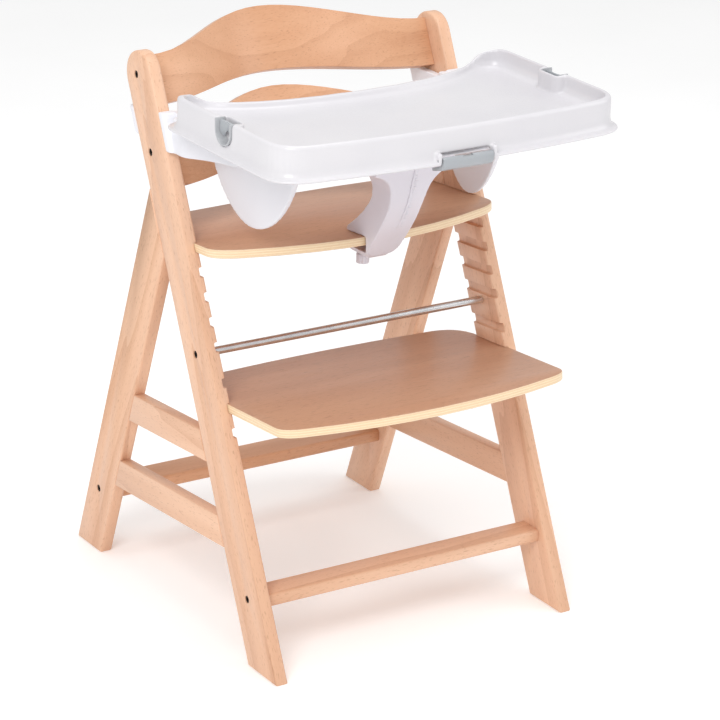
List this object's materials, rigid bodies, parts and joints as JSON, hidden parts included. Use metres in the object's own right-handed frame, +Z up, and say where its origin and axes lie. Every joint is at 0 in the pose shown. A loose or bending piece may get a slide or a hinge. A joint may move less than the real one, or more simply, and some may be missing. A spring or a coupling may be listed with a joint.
{
  "type": "baby high chair",
  "caption": "Wooden high chair with leaning side frames, bowed backrest boards, adjustable seat and footrest boards in grooves, and a sliding plastic tray on a base with a crotch post.",
  "frame": {"origin": "on the floor, at the middle of the width and of the whole depth", "axes": "+Z up, -Y the way the seated child faces, +X to the child's left"},
  "size_m": [0.532, 0.6094, 0.7745],
  "materials": {
    "beech": "clear satin lacquer",
    "plywood": "satin lacquered veneer",
    "dowel_wood": "raw",
    "steel": "brushed",
    "dark_steel": "black oxide",
    "zinc_steel": "zinc plated",
    "tray_white": "soft gloss",
    "base_white": "fine satin",
    "warm_grey": "satin",
    "lever_grey": "satin",
    "trim_grey": "soft gloss"
  },
  "bodies": {
    "frame": {"upright_right": "beech", "upright_left": "beech", "rear_leg_right": "beech", "rear_leg_left": "beech", "upper_rail_right": "beech", "upper_rail_left": "beech", "lower_rail_right": "beech", "lower_rail_left": "beech", "front_crossbar": "beech", "rear_crossbar": "beech", "backrest_top": "beech", "backrest_low": "beech", "steel_rod": "steel", "tray_base": "base_white", "crotch_post": "warm_grey", "backrest_top_bolt_right": "dark_steel", "backrest_top_bolt_left": "dark_steel", "backrest_low_bolt_right": "dark_steel", "backrest_low_bolt_left": "dark_steel", "steel_rod_bolt_right": "dark_steel", "steel_rod_bolt_left": "dark_steel", "front_bar_bolt_right": "dark_steel", "front_bar_bolt_left": "dark_steel", "rear_bar_bolt_right": "dark_steel", "rear_bar_bolt_left": "dark_steel", "front_bar_nut_right": "zinc_steel", "front_bar_nut_left": "zinc_steel", "rear_bar_nut_right": "zinc_steel", "rear_bar_nut_left": "zinc_steel", "backrest_top_nut_right": "zinc_steel", "backrest_top_nut_left": "zinc_steel", "backrest_low_nut_right": "zinc_steel", "backrest_low_nut_left": "zinc_steel", "upper_rail_front_dowel_right": "dowel_wood", "upper_rail_front_dowel_left": "dowel_wood", "upper_rail_rear_dowel_right": "dowel_wood", "upper_rail_rear_dowel_left": "dowel_wood", "lower_rail_front_dowel_right": "dowel_wood", "lower_rail_front_dowel_left": "dowel_wood", "lower_rail_rear_dowel_right": "dowel_wood", "lower_rail_rear_dowel_left": "dowel_wood", "leg_dowel_right": "dowel_wood", "leg_dowel_left": "dowel_wood"},
    "seat": {"seat_plate": "plywood"},
    "footrest": {"footrest_plate": "plywood"},
    "tray": {"tray": "tray_white", "lever_pin": "zinc_steel", "lever_spring": "zinc_steel", "button_bezel_right": "trim_grey", "button_bezel_left": "trim_grey", "button_spring_right": "zinc_steel", "button_spring_left": "zinc_steel"},
    "lever": {"release_lever": "lever_grey"},
    "button_right": {"side_button_right": "lever_grey"},
    "button_left": {"side_button_left": "lever_grey"},
    "clamp_slider": {"clamp_pad": "warm_grey"},
    "clamp_turner": {"clamp_knob": "warm_grey", "clamp_screw": "zinc_steel"}
  },
  "joints": [
    {"name": "tray_slide", "type": "slide", "parent": "frame", "child": "tray", "axis": [0, -1, 0], "range_m": [0, 0.2]},
    {"name": "lever_hinge", "type": "hinge", "parent": "tray", "child": "lever", "pos_m": [0, -0.2991, 0.6995], "axis": [-1, 0, 0], "range_deg": [0, 25], "stiffness_Nm_per_rad": 0.03, "springref_deg": -28.65},
    {"name": "button_right_press", "type": "slide", "parent": "tray", "child": "button_right", "axis": [-1, 0, 0], "range_m": [0, 0.003], "stiffness_N_per_m": 200, "springref_m": -0.005, "deforming": ["button_spring_right"]},
    {"name": "button_left_press", "type": "slide", "parent": "tray", "child": "button_left", "axis": [1, 0, 0], "range_m": [0, 0.003], "stiffness_N_per_m": 200, "springref_m": -0.005, "deforming": ["button_spring_left"]},
    {"name": "clamp_turn", "type": "hinge", "parent": "clamp_slider", "child": "clamp_turner", "pos_m": [0, -0.0651, 0.495], "axis": [0, 0, -1], "range_deg": [0, 1036]},
    {"name": "clamp_travel", "type": "slide", "parent": "frame", "child": "clamp_slider", "axis": [0, 0, -1], "range_m": [0, 0.0035]},
    {"name": "seat_slide", "type": "slide", "parent": "frame", "child": "seat", "axis": [0, 0.997, -0.0768], "range_m": [0, 0.06]},
    {"name": "footrest_slide", "type": "slide", "parent": "frame", "child": "footrest", "axis": [0, 0.997, -0.0768], "range_m": [-0.06, 0.06]}
  ],
  "couplings": [
    {"joint": "clamp_turn", "follows": "clamp_travel", "rad_per_m": 5025}
  ]
}
